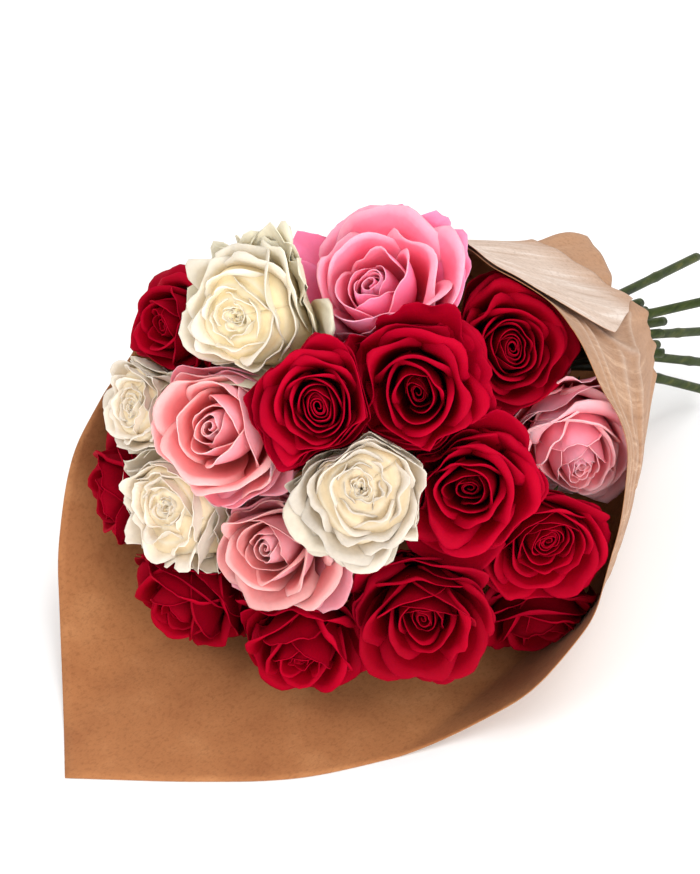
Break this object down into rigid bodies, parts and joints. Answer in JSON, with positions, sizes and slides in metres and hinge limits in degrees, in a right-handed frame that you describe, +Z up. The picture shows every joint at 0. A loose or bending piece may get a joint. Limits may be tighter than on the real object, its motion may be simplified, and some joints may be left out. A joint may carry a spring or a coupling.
{
  "type": "mixed flower bouquet",
  "caption": "Mixed bouquet of red, pink and cream roses on tied stems, wrapped in a cone of kraft paper and lying on its side, with cut stem ends showing behind the paper.",
  "frame": {"origin": "a point on the flat underside of the paper, where the lying bouquet rests, below the middle of its weight", "axes": "+Y along the stems from the blooms to the cut stem ends, +Z up, +X to the right of a viewer who faces the blooms"},
  "size_m": [0.2606, 0.4927, 0.234],
  "materials": {
    "petal_red": "velvety petal",
    "petal_pink": "soft petal",
    "petal_white": "soft petal",
    "stem_green": "fresh green stem and leaf",
    "tie_raffia": "matt raffia",
    "kraft_paper": "matt kraft paper"
  },
  "bodies": {
    "root": {"bloom_red_1": "petal_red", "stem_red_1": "stem_green", "bloom_white_1": "petal_white", "stem_white_1": "stem_green", "bloom_pink_1": "petal_pink", "stem_pink_1": "stem_green", "bloom_red_4": "petal_red", "stem_red_4": "stem_green", "bloom_red_2": "petal_red", "stem_red_2": "stem_green", "bloom_red_3": "petal_red", "stem_red_3": "stem_green", "bloom_pink_2": "petal_pink", "stem_pink_2": "stem_green", "bloom_white_2": "petal_white", "stem_white_2": "stem_green", "bloom_white_3": "petal_white", "stem_white_3": "stem_green", "bloom_red_11": "petal_red", "stem_red_11": "stem_green", "bloom_pink_3": "petal_pink", "stem_pink_3": "stem_green", "bloom_white_4": "petal_white", "stem_white_4": "stem_green", "bloom_red_5": "petal_red", "stem_red_5": "stem_green", "bloom_pink_4": "petal_pink", "stem_pink_4": "stem_green", "bloom_red_6": "petal_red", "stem_red_6": "stem_green", "bloom_red_7": "petal_red", "stem_red_7": "stem_green", "bloom_red_8": "petal_red", "stem_red_8": "stem_green", "bloom_red_9": "petal_red", "stem_red_9": "stem_green", "bloom_red_10": "petal_red", "stem_red_10": "stem_green", "stem_tie": "tie_raffia", "paper_wrap": "kraft_paper"}
  },
  "joints": []
}
